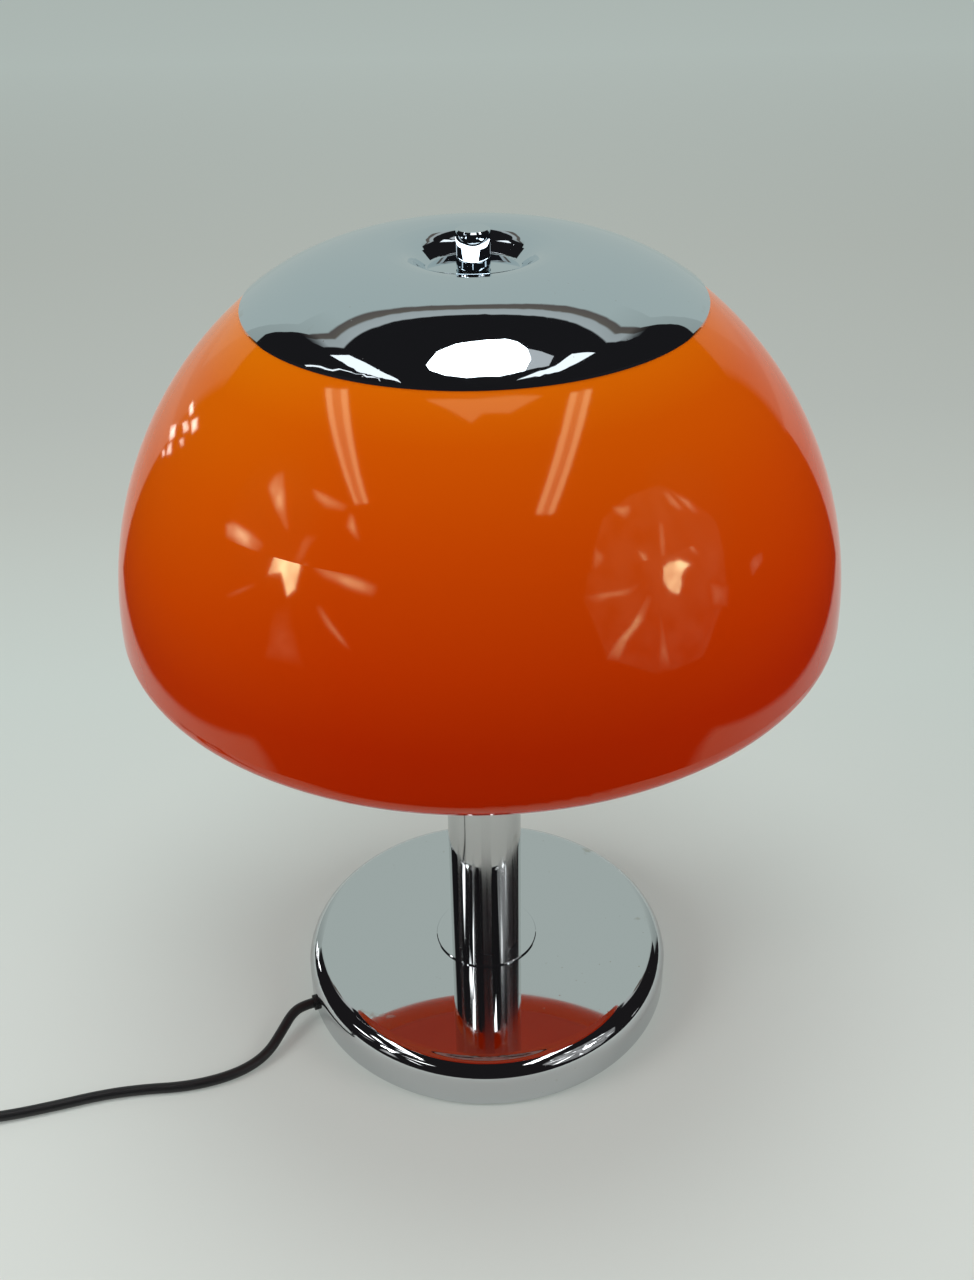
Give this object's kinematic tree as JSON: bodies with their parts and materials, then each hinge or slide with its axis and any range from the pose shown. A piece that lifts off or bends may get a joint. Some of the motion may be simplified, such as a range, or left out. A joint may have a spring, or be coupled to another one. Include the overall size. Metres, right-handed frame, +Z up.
{
  "type": "mushroom table lamp",
  "caption": "Table lamp with a translucent orange acrylic dome on a chrome stem, a dished chrome cap held by a knob, upright bulbs inside and a weighted chrome foot with a mains cord.",
  "frame": {"origin": "middle of the foot, on the table", "axes": "+Z up along the stem, viewer's side -Y, +X to the viewer's right, the cord leaves at -X and a little forward"},
  "size_m": [0.7156, 0.4, 0.5065],
  "materials": {
    "orange_acrylic": "gloss",
    "chrome": "polished",
    "steel": "plain",
    "white_paint": "satin",
    "iron": "matte",
    "felt": "matte",
    "black_rubber": "matte",
    "cord_black": "satin",
    "black_plastic": "gloss",
    "holder_plastic": "satin",
    "white_ceramic": "satin",
    "brass": "plain",
    "lead_white": "satin",
    "bulb_glass": "clear",
    "filament": "clear"
  },
  "bodies": {
    "lamp": {"base_cover": "steel", "base_felt": "felt", "base_shell": "chrome", "base_weight": "iron", "cap_spacer": "steel", "carrier_plate": "white_paint", "centre_contacts": "brass", "clamp_bar": "holder_plastic", "clamp_screws": "steel", "coil_tie": "black_plastic", "cord_coil": "cord_black", "cord_grommet": "black_rubber", "cord_lead": "cord_black", "cord_link": "cord_black", "cord_tail": "cord_black", "cover_screws": "steel", "holder_bridge": "steel", "holder_cores": "white_ceramic", "holder_cup_1": "holder_plastic", "holder_cup_2": "holder_plastic", "holder_cup_3": "holder_plastic", "holder_leads": "lead_white", "holder_nipples": "steel", "holder_sleeve_1": "holder_plastic", "holder_sleeve_2": "holder_plastic", "holder_sleeve_3": "holder_plastic", "inner_lead": "cord_black", "knob_washer": "black_rubber", "lock_nuts": "steel", "plate_gasket": "black_rubber", "plug_body": "black_plastic", "plug_pins": "brass", "rod_washer": "steel", "stem_foot": "steel", "stem_head": "chrome", "stem_rosette": "chrome", "stem_tube": "chrome", "switch_base": "black_plastic", "switch_cover": "black_plastic", "switch_screws": "steel", "terminal_block": "white_ceramic", "terminal_screws": "steel", "thread_shell_1": "brass", "thread_shell_2": "brass", "thread_shell_3": "brass", "threaded_rod": "steel"},
    "dome": {"dome": "orange_acrylic"},
    "cap": {"cap": "chrome"},
    "knob": {"knob": "chrome"},
    "rocker": {"switch_rocker": "black_plastic"},
    "bulb_1": {"bulb_cap_1": "brass", "bulb_glass_1": "bulb_glass", "bulb_filament_1": "filament"},
    "bulb_2": {"bulb_cap_2": "brass", "bulb_glass_2": "bulb_glass", "bulb_filament_2": "filament"},
    "bulb_3": {"bulb_cap_3": "brass", "bulb_glass_3": "bulb_glass", "bulb_filament_3": "filament"}
  },
  "joints": [
    {"name": "dome_lift", "type": "slide", "parent": "lamp", "child": "dome", "axis": [0, 0, 1], "range_m": [0, 0.25]},
    {"name": "cap_lift", "type": "slide", "parent": "dome", "child": "cap", "axis": [0, 0, 1], "range_m": [0, 0.05]},
    {"name": "knob_turn", "type": "hinge", "parent": "cap", "child": "knob", "pos_m": [0, 0, 0.495], "axis": [0, 0, 1], "continuous": true},
    {"name": "bulb_turn_1", "type": "hinge", "parent": "lamp", "child": "bulb_1", "pos_m": [0, 0.047, 0.34], "axis": [0, 0, 1], "continuous": true},
    {"name": "bulb_turn_2", "type": "hinge", "parent": "lamp", "child": "bulb_2", "pos_m": [-0.0407, -0.0235, 0.34], "axis": [0, 0, 1], "continuous": true},
    {"name": "bulb_turn_3", "type": "hinge", "parent": "lamp", "child": "bulb_3", "pos_m": [0.0407, -0.0235, 0.34], "axis": [0, 0, 1], "continuous": true},
    {"name": "switch_press", "type": "hinge", "parent": "lamp", "child": "rocker", "pos_m": [-0.369, -0.125, 0.0121], "axis": [0, 1, 0], "range_deg": [-16, 0]}
  ]
}
